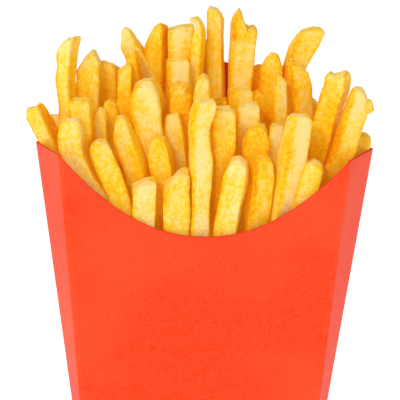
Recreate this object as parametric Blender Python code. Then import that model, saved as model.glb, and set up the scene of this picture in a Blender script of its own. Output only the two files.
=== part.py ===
"""A bucket of french fries: a folded carton with a scooped front, filled to overflowing.

The carton stands on its flat base at z = 0, its scooped front faces -Y and +X is to the right.
Lengths are in millimetres and are turned into metres when a mesh is made.
"""
import math
import random
from collections import namedtuple

import bmesh
import bpy
from mathutils import Vector

MM = 0.001

# The carton: widths and depths are outside, and change evenly from the base to the rim
RIM_HEIGHT = 125.0          # the tips of the two side creases
FOLD_TOP_HEIGHT = 124.3     # where the scoop ends, at the front panel's folds
SCOOP_LOW_HEIGHT = 94.8     # the lowest point of the scooped front edge
SCOOP_POWER = 2.2
BACK_TOP_HEIGHT = 153.5     # the top of the domed back panel
BACK_POWER = 1.2
BASE_FOLD = 41.5            # half the width of the front and back panels
RIM_FOLD = 52.9
BASE_CREASE = 44.4          # half the whole width, at the side creases
RIM_CREASE = 62.8
BASE_DEPTH = 17.0           # half the whole depth
RIM_DEPTH = 26.0
BOARD = 0.5                 # thickness of the paperboard
PANEL_COLUMNS = 14          # faces across the front panel and across the back panel
WALL_ROWS = 6

# How the contents keep clear of the board
CLEARANCE = 0.45
CORE_CLEARANCE = 1.0
FREE_SIDE_HEIGHT = RIM_HEIGHT + 2.8     # above this the fries may lean out over the side panels
FREE_BACK_HEIGHT = BACK_TOP_HEIGHT + 2.0
LEAN_OUT = 0.6                          # how fast they may do so, across for each unit up

# The heap's core: height, share of the inner width, and the depths of its front and back
CORE_RINGS = (
    (BOARD + CLEARANCE, 1.0, -1.0, 1.0),
    (21.0, 1.0, -1.0, 1.0),
    (42.0, 1.0, -1.0, 1.0),
    (63.0, 1.0, -1.0, 1.0),
    (84.0, 1.0, -1.0, 1.0),
    (92.0, 0.97, -0.62, 0.98),
    (110.0, 0.90, -0.18, 0.90),
    (122.0, 0.80, 0.05, 0.80),
    (129.0, 0.55, 0.20, 0.62),
)

# The fries
FRY_FOOT_HEIGHT = 78.0      # every fry is followed down to here, inside the core
FOOT_LEAN = 0.5             # how much of its lean a fry keeps below its visible part
FRY_STATIONS = (0.0, 0.018, 0.10, 0.24, 0.42, 0.68, 1.0)
SECTION_CORNER = 0.72       # a fry's section is a square with its corners cut here
TIP_ROUND = 0.86            # how much of its width a fry keeps at its end face
END_REACH = 14.0            # an end's outline fades out this far down
HEADING_STEP = 1.5          # a fry's direction is read this far to either side of a ring
RING_SCATTER = 0.02         # how much a ring is larger or smaller than its fry's width
THICKNESS_SHARE = 0.55      # a fry's thickness: this share of its width,
THICKNESS_ADDED = 3.8       # and this much more
SEED = 7

# The place from which the front view below is seen
EYE = Vector((-1.5, -886.3, 260.5))

# The outline of a fry's end as seen, left to right: (place across it from -1 to 1, drop from its highest)
SQUARE = ((-1, 0.5), (-0.75, 0), (0.75, 0.1), (1, 0.6))
DOME = ((-1, 3.4), (-0.6, 0.9), (0, 0), (0.6, 0.8), (1, 3.2))
BLUNT = ((-1, 1.9), (-0.6, 0.3), (0.5, 0), (1, 1.5))
RISING = ((-1, 2.6), (0.3, 0.5), (1, 0))
FALLING = ((-1, 0), (-0.3, 0.5), (1, 2.6))
PEAK = ((-1, 4.4), (-0.55, 1.3), (0, 0), (0.5, 0.9), (1, 3.4))
LEAF = ((-1, 5.4), (-0.45, 1.6), (0.05, 0), (0.5, 1.3), (1, 4.4))

# path: a fry's middle line and width, seen on the carton's middle plane, as (x, z, width), tip first
# depths: of its tip and of its foot; turn: of its section in degrees; end: the outline of its end
Fry = namedtuple("Fry", "path depths turn end")

FRONT_ROW = (
    Fry([(-49.6, 134.6, 8.4), (-49.4, 128, 9.8), (-48.9, 122, 9.8), (-46.5, 116, 9.6), (-43.3, 110.5, 9.2),
         (-38.5, 104.5, 9.0), (-32.5, 98, 9.0)], (-15, -17), -12, BLUNT),
    Fry([(-39.8, 126.3, 8.6), (-37.6, 119, 9.0), (-34.2, 110, 9.2), (-31, 101, 9.0)],
        (-18, -17.5), 12, DOME),
    Fry([(-22.4, 112.2, 8.7), (-22.5, 95, 8.8)], (-19.5, -17.5), 6, RISING),
    Fry([(-10.1, 116, 10.2), (-10.1, 92, 10.0)], (-19, -17), 5,
        ((-1, 5.4), (-0.4, 3.8), (0.1, 1.2), (0.5, 0.2), (1, 0))),
    Fry([(0.3, 142.7, 8.0), (-0.6, 138.5, 8.4), (-2.1, 132, 7.3), (-1.9, 126, 7.5), (-1.3, 119, 8.3),
         (-1.1, 111, 7.9), (-1.4, 103, 7.2), (-1.6, 96, 7.3), (-1.6, 90, 7.3)], (-18, -17.5), 8,
        ((-1, 2.8), (-0.4, 0.9), (0.2, 0.5), (0.7, 0), (1, 0.8))),
    Fry([(13.3, 120.9, 8.4), (12.5, 115, 9.7), (11.7, 110, 9.7), (9.8, 101, 9.3), (8.5, 91, 9.0)],
        (-19.5, -17), -12, DOME),
    Fry([(21.5, 121.5, 8.5), (21.3, 112, 9.4), (20.3, 103, 9.4), (19.5, 94, 9.3)],
        (-17.5, -16.5), 22, BLUNT),
    Fry([(36, 137.4, 9.2), (33.9, 126, 9.8), (32.1, 115, 9.9), (30.2, 105, 9.4), (28.8, 97, 9.0)],
        (-18, -17.5), 20, BLUNT),
    Fry([(41, 120.5, 8.0), (40.3, 113, 8.8), (38.6, 103, 8.6)], (-19, -17.5), -8, DOME),
)
SECOND_ROW = (
    Fry([(-31.3, 135.4, 6.8), (-30, 129, 8.6), (-27.2, 121, 9.2), (-24.6, 113, 9.0)],
        (-11, -9), -20, DOME),
    Fry([(-17.6, 128.4, 7.6), (-16.4, 121, 8.7), (-14.6, 110, 8.5)], (-10, -9), -10, DOME),
    Fry([(-46.3, 141.6, 9.2), (-45.7, 133, 9.5), (-45.4, 126, 9.0)], (-8, -9), -10, SQUARE),
    Fry([(6.8, 139.5, 9.0), (6.3, 132, 10.2), (6.6, 126, 9.8), (7.1, 120, 8.4), (6.8, 109, 7.4)],
        (-12, -9), 12, BLUNT),
    Fry([(19.8, 133.9, 8.2), (19.4, 129, 10.4), (19.1, 124, 10.2), (18.6, 119, 9.6)],
        (-10, -8), 0, DOME),
    Fry([(27, 133.3, 5.2), (26.4, 126, 5.6), (25.6, 119, 5.6)], (-9, -9), 0, SQUARE),
    Fry([(57.8, 148, 7.0), (56.7, 142, 8.5), (54.6, 135, 8.7), (50.4, 121, 8.7), (46.3, 109.5, 8.8)],
        (-10, -14), 10, ((-1, 1.3), (-0.5, 0), (0, 0.2), (1, 3.2))),
    Fry([(49.2, 154.3, 9.4), (48.8, 148, 9.3), (47.1, 142, 9.2), (45.2, 135, 9.2), (43.4, 126, 9.2),
         (41.8, 118.5, 9.0)], (-5, -9), -22,
        ((-1, 1.5), (-0.65, 0.5), (-0.25, 1.6), (0.1, 0.9), (0.5, 0), (0.8, 0.2), (1, 1.5))),
    Fry([(-16.3, 110.5, 5.5), (-16.3, 92, 5.5)], (-12, -12), 0, SQUARE),
)
MIDDLE_ROW = (
    Fry([(-63.9, 138.6, 7.4), (-62.4, 135, 8.4), (-60.1, 130, 8.8), (-57.6, 125, 8.7), (-56, 121, 8.7)],
        (-1, -1), -22, ((-1, 1.6), (-0.5, 0.2), (0.2, 0.6), (0.7, 0), (1, 0.4))),
    Fry([(-56.2, 135.4, 5.6), (-55.4, 128, 5.8)], (5, 3), 0, SQUARE),
    Fry([(-38.9, 138.4, 6.0), (-38.2, 128, 6.2)], (-4, -3), -15, DOME),
    Fry([(-35.3, 141.1, 6.6), (-34.8, 132, 7.0)], (0, 0), 5, DOME),
    Fry([(-22.3, 149.8, 11.2), (-21.9, 141, 12.2), (-20.9, 133, 11.2), (-19.6, 125, 10.8)], (-4, -3), -6,
        ((-1, 4.2), (-0.5, 1.6), (0, 0.5), (0.4, 0), (1, 3.4))),
    Fry([(-11.7, 137.7, 6.5), (-10.9, 131, 8.8), (-9.6, 124, 8.6), (-8.3, 116, 8.0)],
        (-3, -3), -18, ((-1, 1.0), (-0.4, 0.8), (0.3, 0), (1, 1.4))),
    Fry([(-0.9, 151.4, 6.0), (-1.1, 145, 7.0), (-1, 140, 7.2)], (-4, -3), -12, PEAK),
    Fry([(13.1, 146.5, 9.6), (13.1, 138, 9.8)], (4, 1), 4, SQUARE),
    Fry([(16, 141.4, 8.0), (16, 134, 8.2), (15.9, 127, 8.0), (15.8, 120, 8.0)],
        (-4, -2), 0, SQUARE),
    Fry([(27.7, 152.4, 5.0), (27.6, 140, 5.4), (27.4, 130, 5.4)], (1, 0), 8, FALLING),
    Fry([(59.9, 130.9, 6.4), (57.6, 121, 7.4)], (0, -2), 0, DOME),
    Fry([(40.0, 170.8, 8.9), (37.2, 165, 9.3), (34.4, 159.5, 9.1), (32.4, 154, 8.5), (31.2, 147, 7.4)],
        (7, 6), 14, ((-1, 6.8), (-0.7, 4.0), (-0.3, 2.0), (0.1, 0.8), (0.8, 0), (1, 0))),
    Fry([(33.4, 158.0, 7.6), (34.0, 152, 8.5), (34.9, 147, 8.5), (35.8, 138, 8.0)], (3, 2), 20,
        ((-1, 0.4), (-0.6, 0), (0, 1.0), (1, 4.4))),
    Fry([(-8.9, 149.2, 8.6), (-9.1, 143, 8.8), (-9.2, 136, 8.6)], (1, 0), 4,
        ((-1, 1.8), (-0.6, 1.6), (0, 0.6), (0.5, 0), (1, 1.0))),
)
FOURTH_ROW = (
    Fry([(-50.1, 165.7, 7.9), (-51.2, 159, 7.6), (-51.6, 153, 7.0), (-52.1, 148, 7.1), (-51.1, 140, 6.8),
         (-51, 125, 7.0)], (3, 1), -32,
        ((-1, 7.6), (-0.8, 5.7), (-0.55, 3.6), (-0.15, 2.0), (0.5, 0.7), (1, 0))),
    Fry([(-43.2, 160.3, 8.8), (-43.3, 150, 8.9), (-43.1, 138, 8.8)], (8, 6), -5,
        ((-1, 7.1), (0.1, 1.3), (0.28, 0), (1, 4.4))),
    Fry([(-30.2, 155.1, 5.0), (-29.8, 135, 6.0)], (1, 2), 0, RISING),
    Fry([(-27.6, 160, 4.8), (-27, 155, 5.4), (-26.3, 148, 6.0)], (6, 6), -20,
        ((-1, 2.4), (0.4, 0), (1, 0.8))),
    Fry([(-10.6, 157.1, 8.5), (-10.5, 148, 8.7), (-10.3, 140, 8.5)], (7, 6), 6, SQUARE),
    Fry([(24.6, 160.3, 7.2), (24.3, 154, 8.0), (23.5, 146, 8.0), (22.2, 133, 7.6)],
        (7, 5), 6, ((-1, 4.8), (-0.6, 2.0), (-0.2, 0.3), (0.05, 0), (0.4, 0.5), (1, 4.0))),
)
BACK_ROW = (
    Fry([(-36.1, 156.0, 8.2), (-35.9, 148, 8.5), (-35.6, 141, 8.5)], (13, 11), -12,
        ((-1, 0), (0.2, 0.8), (1, 2.2))),
    Fry([(-30.2, 168.6, 5.6), (-28.9, 164, 7.1), (-26.3, 158.5, 7.7), (-22.3, 152, 7.4), (-19, 146.5, 7.8)],
        (14, 12), -15, PEAK),
    Fry([(-18.3, 170.3, 8.0), (-18.5, 163, 8.4), (-18, 150, 8.5)], (15, 13), -20,
        ((-1, 7.6), (-0.6, 4.1), (-0.2, 1.3), (0.3, 0), (1, 0.5))),
    Fry([(-9.6, 170.3, 9.8), (-9.7, 163, 9.8), (-9.8, 156, 9.6)], (15, 13), 4,
        ((-1, 1.9), (0, 0.7), (1, 0))),
    Fry([(-6.8, 171.6, 2.8), (-4.4, 171.4, 3.8), (-2.8, 168, 5.2), (-3.2, 161, 5.7), (-3.9, 150, 6.0)],
        (10, 8), -25, BLUNT),
    Fry([(3.1, 176.7, 6.4), (3.0, 166, 6.6), (3.1, 157, 6.5), (4.2, 144, 6.2)], (16, 13), -12,
        ((-1, 0.5), (-0.6, 0), (0.1, 0.4), (0.6, 1.8), (1, 4.5))),
    Fry([(13.7, 176.3, 9.6), (13.6, 168, 9.8), (13.2, 158, 9.3), (12.8, 147, 9.0)], (12, 10), 6,
        ((-1, 5.5), (-0.77, 2.3), (-0.36, 0), (-0.16, 1.8), (0, 4.8), (0.16, 7.3), (0.33, 7.0),
         (0.55, 6.4), (0.94, 6.5), (1, 7.2))),
    Fry([(40.8, 143.7, 5.0), (40.6, 134, 6.0)], (13, 11), 0, FALLING),
    Fry([(19, 155.8, 5.4), (18.9, 141, 6.0)], (14, 11), 0,
        ((-1, 1.4), (-0.2, 0.8), (0.3, 0), (1, 0.5))),
)
# Hidden from the front, seen from the back, the sides and above
REAR_ROW = (
    Fry([(-55, 131, 8.0), (-52, 118, 8.0)], (12, 9), 10, DOME),
    Fry([(-45, 147, 8.4), (-43.5, 130, 8.4)], (19, 15), 15, RISING),
    Fry([(-36, 149, 8.0), (-35, 130, 8.0)], (20, 16), -10, FALLING),
    Fry([(-27.5, 149, 8.6), (-26, 130, 8.6)], (20, 16), 5, LEAF),
    Fry([(-18.8, 160, 7.4), (-17.5, 140, 7.4)], (21.5, 16), 20, SQUARE),
    Fry([(-8.8, 163, 8.8), (-8.6, 140, 8.8)], (21.5, 16), -15, FALLING),
    Fry([(-0.6, 165, 7.4), (0, 140, 7.4)], (21.5, 16), 10, RISING),
    Fry([(12.9, 163, 8.0), (12.4, 140, 8.0)], (21, 16), 10, DOME),
    Fry([(23.6, 153, 8.2), (22.5, 135, 8.2)], (20, 16), -20, RISING),
    Fry([(34.4, 150, 8.8), (32.5, 132, 8.8)], (19, 15), 10, FALLING),
    Fry([(47.2, 143, 8.6), (43.5, 128, 8.6)], (18, 14), 15, SQUARE),
    Fry([(54.8, 136, 7.6), (51, 120, 7.6)], (9, 7), -10, FALLING),
    Fry([(50, 140, 8.0), (46, 122, 8.0)], (5, 4), 10, DOME),
)
# Short ones between the others, seen only in the gaps from above
FILLERS = (
    Fry([(4.2, 143, 8.0), (4.6, 125, 8.0)], (4, 3), 0, RISING),
    Fry([(-5, 141, 7.6), (-5.5, 125, 7.6)], (6, 4), 15, SQUARE),
    Fry([(19.5, 146, 7.0), (18.5, 128, 7.0)], (5, 4), 20, DOME),
    Fry([(8.5, 139, 8.4), (8, 122, 8.4)], (13, 10), -10, SQUARE),
    Fry([(29, 141, 8.0), (27.5, 125, 8.0)], (10, 8), 10, FALLING),
    Fry([(-36, 135, 8.2), (-34, 120, 8.2)], (8, 7), 10, DOME),
    Fry([(-18.5, 138, 8.4), (-17.5, 122, 8.4)], (6, 5), -10, SQUARE),
    Fry([(41.5, 133, 8.0), (39, 118, 8.0)], (3, 2), 0, DOME),
)
FRIES = FRONT_ROW + SECOND_ROW + MIDDLE_ROW + FOURTH_ROW + BACK_ROW + REAR_ROW + FILLERS

BOARD_RED = (0.93, 0.075, 0.025, 1.0)
FRY_GOLD = (0.90, 0.47, 0.07, 1.0)


def clear_scene():
    for thing in list(bpy.data.objects):
        bpy.data.objects.remove(thing, do_unlink=True)


def material(name, colour, roughness):
    made = bpy.data.materials.new(name)
    made.use_nodes = True
    shader = made.node_tree.nodes["Principled BSDF"]
    shader.inputs["Base Color"].default_value = colour
    shader.inputs["Roughness"].default_value = roughness
    shader.inputs["Metallic"].default_value = 0.0
    return made


def add_object(name, bm, finish):
    mesh = bpy.data.meshes.new(name)
    bmesh.ops.scale(bm, vec=(MM, MM, MM), verts=bm.verts)
    bmesh.ops.triangulate(bm, faces=[face for face in bm.faces if len(face.verts) == 4])
    bm.to_mesh(mesh)
    bm.free()
    mesh.materials.append(finish)
    made = bpy.data.objects.new(name, mesh)
    bpy.context.scene.collection.objects.link(made)
    return made


def half_sizes(height, inset=0.0):
    """Half widths at the fold and at the side crease, and half depth, with each wall moved in."""
    share = height / RIM_HEIGHT
    fold = BASE_FOLD + (RIM_FOLD - BASE_FOLD) * share
    crease = BASE_CREASE + (RIM_CREASE - BASE_CREASE) * share
    depth = BASE_DEPTH + (RIM_DEPTH - BASE_DEPTH) * share
    facet = math.hypot(depth, crease - fold)
    return (fold + inset * (crease - fold - facet) / depth, crease - inset * facet / depth, depth - inset)


def scoop_height(across):
    """Height of the front panel's edge, with across from -1 to 1 between its folds."""
    return SCOOP_LOW_HEIGHT + (FOLD_TOP_HEIGHT - SCOOP_LOW_HEIGHT) * abs(across) ** SCOOP_POWER


def dome_height(across):
    """Height of the back panel's edge."""
    swell = math.cos(0.5 * math.pi * abs(across) ** BACK_POWER) ** 2
    return FOLD_TOP_HEIGHT + (BACK_TOP_HEIGHT - FOLD_TOP_HEIGHT) * swell


def wall_columns():
    """The upright lines of the wall, once round: a side (-1 front, 1 back, 0 crease), across, and top."""
    shares = [-1.0 + 2.0 * i / PANEL_COLUMNS for i in range(PANEL_COLUMNS + 1)]
    front = [(-1, share, scoop_height(share)) for share in shares]
    back = [(1, -share, dome_height(share)) for share in shares]
    return front + [(0, 1.0, RIM_HEIGHT)] + back + [(0, -1.0, RIM_HEIGHT)]


def wall_point(side, across, height):
    fold, crease, depth = half_sizes(height)
    if side == 0:
        return Vector((across * crease, 0.0, height))
    return Vector((across * fold, side * depth, height))


def build_carton(finish):
    """One folded board: its outer skin as a sheet, thickened inwards."""
    bm = bmesh.new()
    columns = wall_columns()
    rows = []
    for row in range(WALL_ROWS + 1):
        share = row / WALL_ROWS
        rows.append([bm.verts.new(wall_point(side, across, top * share)) for side, across, top in columns])
    count = len(columns)
    for low, high in zip(rows, rows[1:]):
        for i in range(count):
            j = (i + 1) % count
            bm.faces.new((low[i], low[j], high[j], high[i]))
    bm.faces.new(list(reversed(rows[0])))
    carton = add_object("carton", bm, finish)
    thicken = carton.modifiers.new("board", "SOLIDIFY")
    thicken.thickness = BOARD * MM
    thicken.offset = -1.0
    thicken.use_even_offset = True
    return carton


def pressed(point):
    """A point of the contents, kept inside the board up to where it may lean out over it."""
    x, y, z = point
    inset = BOARD + CLEARANCE
    _, _, depth = half_sizes(min(z, FREE_BACK_HEIGHT), inset)
    over_sides = max(0.0, z - FREE_SIDE_HEIGHT) * LEAN_OUT
    over_back = max(0.0, z - FREE_BACK_HEIGHT) * LEAN_OUT
    y = max(-depth - over_sides, min(depth + over_back, y))
    fold, crease, depth = half_sizes(min(z, FREE_SIDE_HEIGHT), inset)
    widest = crease - (crease - fold) * min(1.0, abs(y) / depth) + over_sides
    x = max(-widest, min(widest, x))
    return Vector((x, y, max(z, BOARD + CLEARANCE)))


def seen(x, z, depth):
    """The point at a depth that the front view shows at (x, z) on the middle plane."""
    return EYE.lerp(Vector((x, 0.0, z)), 1.0 - depth / EYE.y)


def control_points(fry):
    """A fry's middle line in space, from its tip to its foot in the core, and its width at each point."""
    tip_depth, foot_depth = fry.depths
    path = list(fry.path)
    (x_before, z_before, _), (x_last, z_last, w_last) = path[-2:]
    lean = (x_last - x_before) / (z_last - z_before)
    drop = z_last - FRY_FOOT_HEIGHT
    path.append((x_last - lean * FOOT_LEAN * drop, FRY_FOOT_HEIGHT, w_last))
    length = path[0][1] - path[-1][1]
    points = []
    for x, z, width in path:
        share = (path[0][1] - z) / length
        points.append(seen(x, z, tip_depth + (foot_depth - tip_depth) * share))
    return points, [width for x, z, width in path]


def heading(points, index):
    """The curve's direction at one of its points, for each unit of length."""
    before = points[max(index - 1, 0)]
    after = points[min(index + 1, len(points) - 1)]
    here = points[index]
    return (after - before) / ((after - here).length + (here - before).length)


def smooth_step(share):
    share = max(0.0, min(1.0, share))
    return share * share * (3.0 - 2.0 * share)


def curve_point(points, widths, distance):
    """A point on the smooth curve through the points, at a distance from its start, and the width there."""
    lengths = [(b - a).length for a, b in zip(points, points[1:])]
    index = 0
    while index < len(lengths) - 1 and distance > lengths[index]:
        distance -= lengths[index]
        index += 1
    length = lengths[index]
    t = max(0.0, min(1.0, distance / length))
    start, end = points[index], points[index + 1]
    leaving, arriving = heading(points, index) * length, heading(points, index + 1) * length
    place = (start * (2 * t ** 3 - 3 * t ** 2 + 1) + leaving * (t ** 3 - 2 * t ** 2 + t)
             + end * (3 * t ** 2 - 2 * t ** 3) + arriving * (t ** 3 - t ** 2))
    return place, widths[index] + (widths[index + 1] - widths[index]) * smooth_step(t)


def section(turn):
    """A fry's section, one unit wide as seen: a square with cut corners, turned."""
    angle = math.radians(turn)
    corner = SECTION_CORNER
    square = ((1, -corner), (1, corner), (corner, 1), (-corner, 1),
              (-1, corner), (-1, -corner), (-corner, -1), (corner, -1))
    turned = [(u * math.cos(angle) - v * math.sin(angle), u * math.sin(angle) + v * math.cos(angle))
              for u, v in square]
    reach = max(u for u, v in turned)
    return [(0.5 * u / reach, 0.5 * v / reach) for u, v in turned]


def thickness(width):
    """How deep a fry of a width is: wide ones are flatter, narrow ones deeper."""
    return THICKNESS_SHARE * width + THICKNESS_ADDED


def end_drop(end, across):
    """How far below its highest point a fry's end is, at a place across it from -1 to 1."""
    for (left, high), (right, low) in zip(end, end[1:]):
        if across <= right:
            return high + (low - high) * smooth_step((across - left) / (right - left))
    return end[-1][1]


def build_fry(bm, fry, rng):
    """One whole fry as a closed body: rings of its section along its middle line."""
    points, widths = control_points(fry)
    length = sum((b - a).length for a, b in zip(points, points[1:]))
    outline = section(fry.turn)
    rings = []
    for share in FRY_STATIONS:
        distance = share * length
        middle, width = curve_point(points, widths, distance)
        before, _ = curve_point(points, widths, distance - HEADING_STEP)
        after, _ = curve_point(points, widths, distance + HEADING_STEP)
        up = (before - after).normalized()
        across = Vector((0.0, 1.0, 0.0)).cross(up).normalized()
        inward = up.cross(across)
        scale = rng.uniform(1.0 - RING_SCATTER, 1.0 + RING_SCATTER) * (TIP_ROUND if distance == 0.0 else 1.0)
        fade = max(0.0, 1.0 - distance / END_REACH)
        ring = []
        for u, v in outline:
            drop = end_drop(fry.end, 2.0 * u * scale) * fade
            sideways, inwards = u * width * scale, v * thickness(width) * scale
            ring.append(bm.verts.new(pressed(middle + across * sideways + inward * inwards - up * drop)))
        rings.append(ring)
        if distance == 0.0:
            tip = bm.verts.new(pressed(middle - up * end_drop(fry.end, 0.0)))
    sides = len(outline)
    for high, low in zip(rings, rings[1:]):
        for i in range(sides):
            j = (i + 1) % sides
            bm.faces.new((high[i], low[i], low[j], high[j]))
    for i in range(sides):
        bm.faces.new((rings[0][i], rings[0][(i + 1) % sides], tip))
    bm.faces.new(list(reversed(rings[-1])))


def build_core(bm):
    """The packed middle of the heap, which the fries stand in."""
    rings = []
    for height, width_share, front_share, back_share in CORE_RINGS:
        fold, crease, depth = half_sizes(height, BOARD + CORE_CLEARANCE)
        front, back = depth * front_share, depth * back_share
        middle = 0.5 * (front + back)
        outline = ((-fold, front), (fold, front), (crease, middle),
                   (fold, back), (-fold, back), (-crease, middle))
        rings.append([bm.verts.new((x * width_share, y, height)) for x, y in outline])
    sides = len(rings[0])
    for low, high in zip(rings, rings[1:]):
        for i in range(sides):
            j = (i + 1) % sides
            bm.faces.new((low[i], low[j], high[j], high[i]))
    bm.faces.new(list(reversed(rings[0])))
    bm.faces.new(rings[-1])


def shell_volume(faces):
    """Six times the volume that a closed set of faces holds, below zero for a hollow."""
    total = 0.0
    for face in faces:
        corners = [loop.vert.co for loop in face.loops]
        for a, b in zip(corners[1:], corners[2:]):
            total += corners[0].dot(a.cross(b))
    return total


def keep_outer_shell(mesh):
    """Fill the hollows that fusing sealed, and drop loose scraps."""
    bm = bmesh.new()
    bm.from_mesh(mesh)
    bmesh.ops.triangulate(bm, faces=bm.faces, ngon_method="EAR_CLIP")
    waiting = set(bm.faces)
    shells = []
    while waiting:
        stack = [waiting.pop()]
        shell = set(stack)
        while stack:
            face = stack.pop()
            for edge in face.edges:
                for other in edge.link_faces:
                    if other in waiting:
                        waiting.remove(other)
                        shell.add(other)
                        stack.append(other)
        shells.append(shell)
    outer = max(shells, key=shell_volume)
    spare = [face for face in bm.faces if face not in outer]
    bmesh.ops.delete(bm, geom=spare, context="FACES")
    bm.to_mesh(mesh)
    bm.free()


def build_fries(finish):
    """The heap: the core with every fry fused on."""
    rng = random.Random(SEED)
    bm = bmesh.new()
    build_core(bm)
    heap = add_object("fries", bm, finish)
    loose = bpy.data.collections.new("loose_fries")
    bpy.context.scene.collection.children.link(loose)
    for number, fry in enumerate(FRIES):
        bm = bmesh.new()
        build_fry(bm, fry, rng)
        single = add_object(f"loose_{number}", bm, finish)
        bpy.context.scene.collection.objects.unlink(single)
        loose.objects.link(single)
    fuse = heap.modifiers.new("fuse", "BOOLEAN")
    fuse.operation = "UNION"
    fuse.operand_type = "COLLECTION"
    fuse.collection = loose
    fuse.solver = "EXACT"
    fuse.use_self = False
    fused = bpy.data.meshes.new_from_object(heap.evaluated_get(bpy.context.evaluated_depsgraph_get()))
    heap.modifiers.clear()
    heap.data = fused
    for single in list(loose.objects):
        bpy.data.objects.remove(single, do_unlink=True)
    bpy.data.collections.remove(loose)
    keep_outer_shell(heap.data)
    return heap


def main():
    clear_scene()
    build_carton(material("board_red", BOARD_RED, 0.5))
    build_fries(material("fry_gold", FRY_GOLD, 0.45))


main()
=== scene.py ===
"""How the bucket of fries looks: the folded red board, each fry by itself, the crumbs, light and camera."""

import math
import random
from collections import namedtuple

import bmesh
import bpy
from mathutils import Matrix, Vector, noise
from mathutils.bvhtree import BVHTree


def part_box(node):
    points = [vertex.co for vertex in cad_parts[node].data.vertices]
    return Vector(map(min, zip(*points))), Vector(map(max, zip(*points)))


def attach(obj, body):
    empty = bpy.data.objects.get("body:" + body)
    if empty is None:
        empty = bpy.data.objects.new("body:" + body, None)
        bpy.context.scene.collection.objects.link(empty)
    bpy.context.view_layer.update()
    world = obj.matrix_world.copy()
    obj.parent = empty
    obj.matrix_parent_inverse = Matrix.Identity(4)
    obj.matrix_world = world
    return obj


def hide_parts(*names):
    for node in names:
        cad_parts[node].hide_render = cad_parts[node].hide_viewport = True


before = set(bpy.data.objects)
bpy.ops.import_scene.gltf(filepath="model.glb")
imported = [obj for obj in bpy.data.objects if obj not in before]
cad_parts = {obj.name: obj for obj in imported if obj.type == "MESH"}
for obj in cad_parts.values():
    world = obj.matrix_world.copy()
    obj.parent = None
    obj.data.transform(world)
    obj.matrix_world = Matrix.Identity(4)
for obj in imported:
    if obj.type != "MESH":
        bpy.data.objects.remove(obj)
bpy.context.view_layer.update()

MM = 0.001
BACKWARDS = Vector((0.0, 1.0, 0.0))

# The carton's driving sizes in millimetres, as the frame has them
RIM_HEIGHT = 125.0
FOLD_TOP_HEIGHT = 124.3
SCOOP_LOW_HEIGHT = 94.8
SCOOP_POWER = 2.2
EDGE_SLACK = 0.05           # the back panel's top stays this far below the box of the frame's own
BACK_TOP_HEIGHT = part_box("carton")[1].z / MM - EDGE_SLACK
BACK_POWER = 1.2
BASE_FOLD = 41.5
RIM_FOLD = 52.9
BASE_CREASE = 44.4
RIM_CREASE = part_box("carton")[1].x / MM
BASE_DEPTH = 17.0
RIM_DEPTH = 26.0
BOARD = 0.5

# How finely the board is made, and how soft its folds are
PANEL_COLUMNS = 56
FACET_COLUMNS = 8
ARC_COLUMNS = 4
WALL_ROWS = 56
SIDE_COLUMNS = (PANEL_COLUMNS, FACET_COLUMNS, FACET_COLUMNS) * 2
RIM_BAND = 0.45             # the last row is this far below the board's edge
FOLD_RADIUS = 1.1
FOLD_REACH = 0.4            # the front and back panels' edge curves end this far from their folds
FRONT_BOW = 0.9             # how far the full carton pushes its front panel out
BACK_BOW = 0.5
PANEL_SHARE = 0.9           # beyond this share of the depth, the board is the front or the back panel
EDGE_SLOT = 1               # of the board's materials: printed face, cut edge, inside
INSIDE_SLOT = 2

# The contents, which stay inside the box of the frame's own heap
HEAP_LOW, HEAP_HIGH = (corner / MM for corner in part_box("fries"))
CLEARANCE = 0.12
FREE_SIDE_HEIGHT = RIM_HEIGHT + 0.4         # above this the fries may lean out over the side panels
FREE_BACK_HEIGHT = BACK_TOP_HEIGHT + 1.5
LEAN_OUT = 0.6                              # how fast they may do so, across for each unit up
EYE = Vector((-1.5, -886.3, 260.5))         # the fries' places are as seen from here
FRY_FOOT_HEIGHT = 74.0
FOOT_LEAN = 0.5
FACE_POINTS = 4             # on each side of a fry's section, between its corners
FACE_REACH = 0.72           # how much of a side they take up
CORNER_STEPS = 4            # round each corner
RING_STEP = 1.3
CORNER_ROUND = (0.14, 0.34) # a corner's radius, from and to, for half the section's side
SWELL = 1.04                # its sunken faces take away what this gives
END_REACH = 14.0            # an end's outline fades out this far down
EDGE_ROUND = 0.8            # radius of the edge round a square-cut end
EDGE_STEPS = 4
END_UNEVEN = 1.5            # how soon a cut end gets as uneven as the sides, from its middle outwards
HEADING_STEP = 1.5          # a fry's direction is read this far to either side of a ring
THICKNESS_SHARE = 0.55      # a fry's thickness: this share of its width,
THICKNESS_ADDED = 3.8       # and this much more
PAINTED_SHADE = 0.18            # painted shade: how much more amber the fries behind the front ones get downwards, deeper in the heap
PAINTED_SHADE_REACH = 26.0
PAINTED_SHADE_DEPTH = -17.0     # from this depth of their tips on,
PAINTED_SHADE_FULL = 6.0        # and in full this much further back
GRIT_REACH = 11.0           # how high above the front edge the fries are gritty
GRIT_DEPTH = -12.0          # and how far back
END_RINGS = (0.0, 0.3, 0.55, 0.76, 0.9)
HEAP_SEED = 11

# What chance gives each fry, from and to
NOISE_SPAN = 400.0          # how far out in the noises a fry may lie
SINK = (0.10, 0.40)         # how deep its faces sink,
SINK_REACH = 6.0            # in full this far down from its tip
LUMP = (0.20, 0.45)         # how lumpy it is
TWIST = 9.0                 # by how many degrees it twists, at most, over a length
TWIST_LENGTH = 60.0
LEAN_SCATTER = (-0.08, 0.10)
TONE_SCATTER = 0.06         # how much the tones of its four sides differ

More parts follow.
